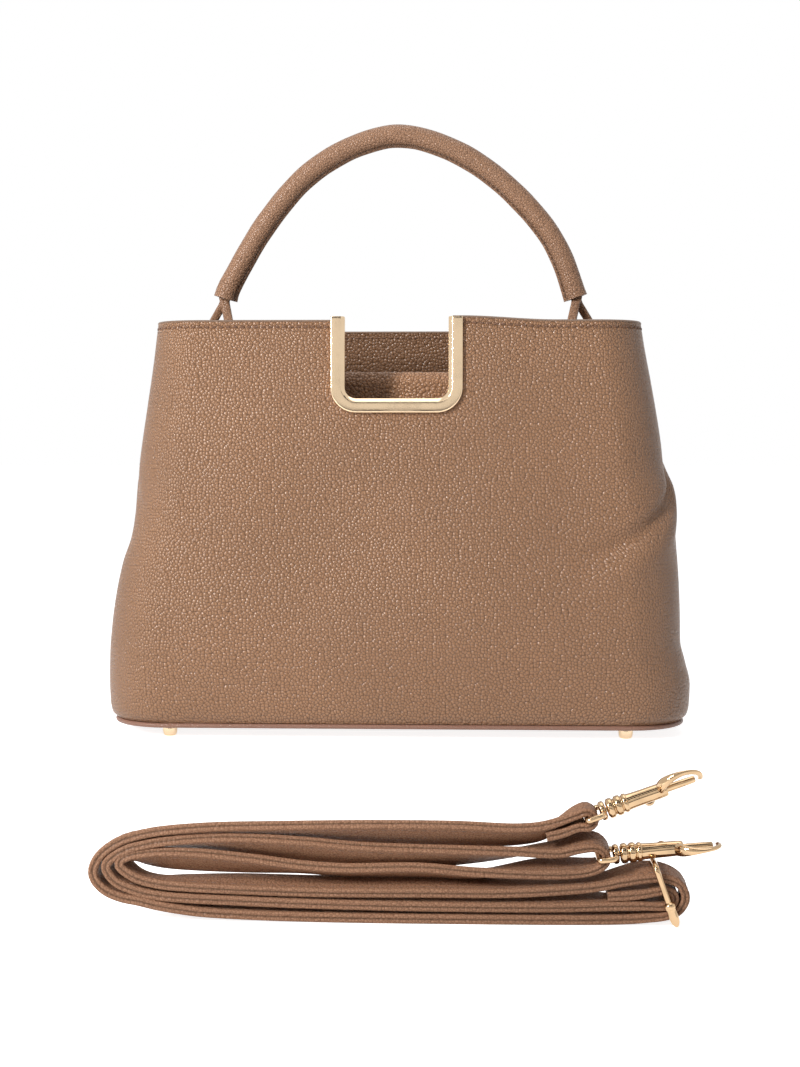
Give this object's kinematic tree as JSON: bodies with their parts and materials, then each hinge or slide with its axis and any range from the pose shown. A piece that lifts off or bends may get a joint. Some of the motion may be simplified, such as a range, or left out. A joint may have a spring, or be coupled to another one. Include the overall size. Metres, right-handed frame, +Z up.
{
  "type": "shoulder bag",
  "caption": "Pebbled leather shoulder bag with a rolled top handle, a metal-framed front notch, base feet, and a detached strap with swivel hooks and a slide buckle.",
  "frame": {"origin": "bottom centre of the whole set, bag and strap lying in front, at floor level", "axes": "-Y to the bag's front, where the strap lies, +X to the right seen from the front, +Z up"},
  "size_m": [0.337, 0.4981, 0.3555],
  "materials": {
    "bag_leather": "pebbled taupe brown, semi-matt",
    "handle_leather": "pebbled taupe brown, rolled",
    "strap_leather": "fine grain, painted edges",
    "piping_leather": "smooth, round a cord",
    "lining_fabric": "woven lining",
    "stiffener_board": "pressed board",
    "handle_cord": "twisted cord",
    "gold_metal": "polished pale gold plating",
    "zip_metal": "satin gold",
    "zip_tape": "woven tape",
    "spring_steel": "drawn wire"
  },
  "bodies": {
    "bag_and_strap": {"back_facing": "bag_leather", "back_lining": "lining_fabric", "back_panel": "bag_leather", "base_board": "stiffener_board", "base_lining": "lining_fabric", "base_panel": "bag_leather", "base_piping": "piping_leather", "d_ring_tab_left": "bag_leather", "d_ring_tab_right": "bag_leather", "foot_back_left": "gold_metal", "foot_back_right": "gold_metal", "foot_front_left": "gold_metal", "foot_front_right": "gold_metal", "frame_back_plate": "gold_metal", "frame_screw_1": "zip_metal", "frame_screw_2": "zip_metal", "frame_screw_3": "zip_metal", "frame_screw_4": "zip_metal", "front_facing": "bag_leather", "front_lining": "lining_fabric", "front_panel": "bag_leather", "handle_leg_back_left": "handle_leather", "handle_leg_back_right": "handle_leather", "handle_leg_front_left": "handle_leather", "handle_leg_front_right": "handle_leather", "notch_frame": "gold_metal", "pocket_back_wall": "bag_leather", "pocket_front_wall": "bag_leather", "pocket_left_end": "bag_leather", "pocket_right_end": "bag_leather", "strap": "strap_leather", "strap_buckle": "gold_metal", "zip_end_left": "bag_leather", "zip_end_right": "bag_leather", "zip_stop_left": "zip_metal", "zip_stop_right": "zip_metal", "zip_tape_back": "zip_tape", "zip_tape_front": "zip_tape", "zip_teeth_back": "zip_metal", "zip_teeth_front": "zip_metal"},
    "handle": {"handle_cover": "handle_leather", "handle_core": "handle_cord"},
    "zip_slider": {"zip_slider": "zip_metal"},
    "zip_pull": {"zip_pull": "zip_metal"},
    "d_ring_left": {"d_ring_left": "gold_metal"},
    "d_ring_right": {"d_ring_right": "gold_metal"},
    "hook_a_eye": {"hook_a_eye": "gold_metal"},
    "hook_a_body": {"hook_a_body": "gold_metal", "hook_a_spring": "spring_steel"},
    "hook_a_bolt": {"hook_a_bolt": "gold_metal"},
    "hook_b_eye": {"hook_b_eye": "gold_metal"},
    "hook_b_body": {"hook_b_body": "gold_metal", "hook_b_spring": "spring_steel"},
    "hook_b_bolt": {"hook_b_bolt": "gold_metal"}
  },
  "joints": [
    {"name": "handle_swing", "type": "hinge", "parent": "bag_and_strap", "child": "handle", "pos_m": [0, 0.18405, 0.23235], "axis": [1, 0, 0], "range_deg": [-70, 70], "deforming": ["handle_leg_front_left", "handle_leg_front_right", "handle_leg_back_left", "handle_leg_back_right"]},
    {"name": "zip_slide", "type": "slide", "parent": "bag_and_strap", "child": "zip_slider", "axis": [1, 0, 0], "range_m": [0, 0.1694]},
    {"name": "zip_pull_flip", "type": "hinge", "parent": "zip_slider", "child": "zip_pull", "pos_m": [-0.0847, 0.18405, 0.2114], "axis": [0, -1, 0], "range_deg": [0, 180]},
    {"name": "d_ring_left_lift", "type": "hinge", "parent": "bag_and_strap", "child": "d_ring_left", "pos_m": [-0.12188, 0.18405, 0.2102], "axis": [0, 1, 0], "range_deg": [0, 150]},
    {"name": "d_ring_right_lift", "type": "hinge", "parent": "bag_and_strap", "child": "d_ring_right", "pos_m": [0.12188, 0.18405, 0.2102], "axis": [0, -1, 0], "range_deg": [0, 150]},
    {"name": "hook_a_lift", "type": "hinge", "parent": "bag_and_strap", "child": "hook_a_eye", "pos_m": [0.0834, -0.23995, 0.0386], "axis": [0, -1, 0], "range_deg": [-8, 45]},
    {"name": "hook_a_swivel", "type": "hinge", "parent": "hook_a_eye", "child": "hook_a_body", "pos_m": [0.0834, -0.23995, 0.0386], "axis": [0.9397, 0, 0.342], "continuous": true},
    {"name": "hook_a_thumb", "type": "slide", "parent": "hook_a_body", "child": "hook_a_bolt", "axis": [-0.9397, 0, -0.342], "range_m": [0, 0.004], "stiffness_N_per_m": 400, "springref_m": -0.002, "deforming": ["hook_a_spring"]},
    {"name": "hook_b_lift", "type": "hinge", "parent": "bag_and_strap", "child": "hook_b_eye", "pos_m": [0.0878, -0.23995, 0.0243], "axis": [0, -1, 0], "range_deg": [0, 8]},
    {"name": "hook_b_swivel", "type": "hinge", "parent": "hook_b_eye", "child": "hook_b_body", "pos_m": [0.0878, -0.23995, 0.0243], "axis": [0.9945, 0, 0.1045], "continuous": true},
    {"name": "hook_b_thumb", "type": "slide", "parent": "hook_b_body", "child": "hook_b_bolt", "axis": [-0.9945, 0, -0.1045], "range_m": [0, 0.004], "stiffness_N_per_m": 400, "springref_m": -0.002, "deforming": ["hook_b_spring"]}
  ]
}
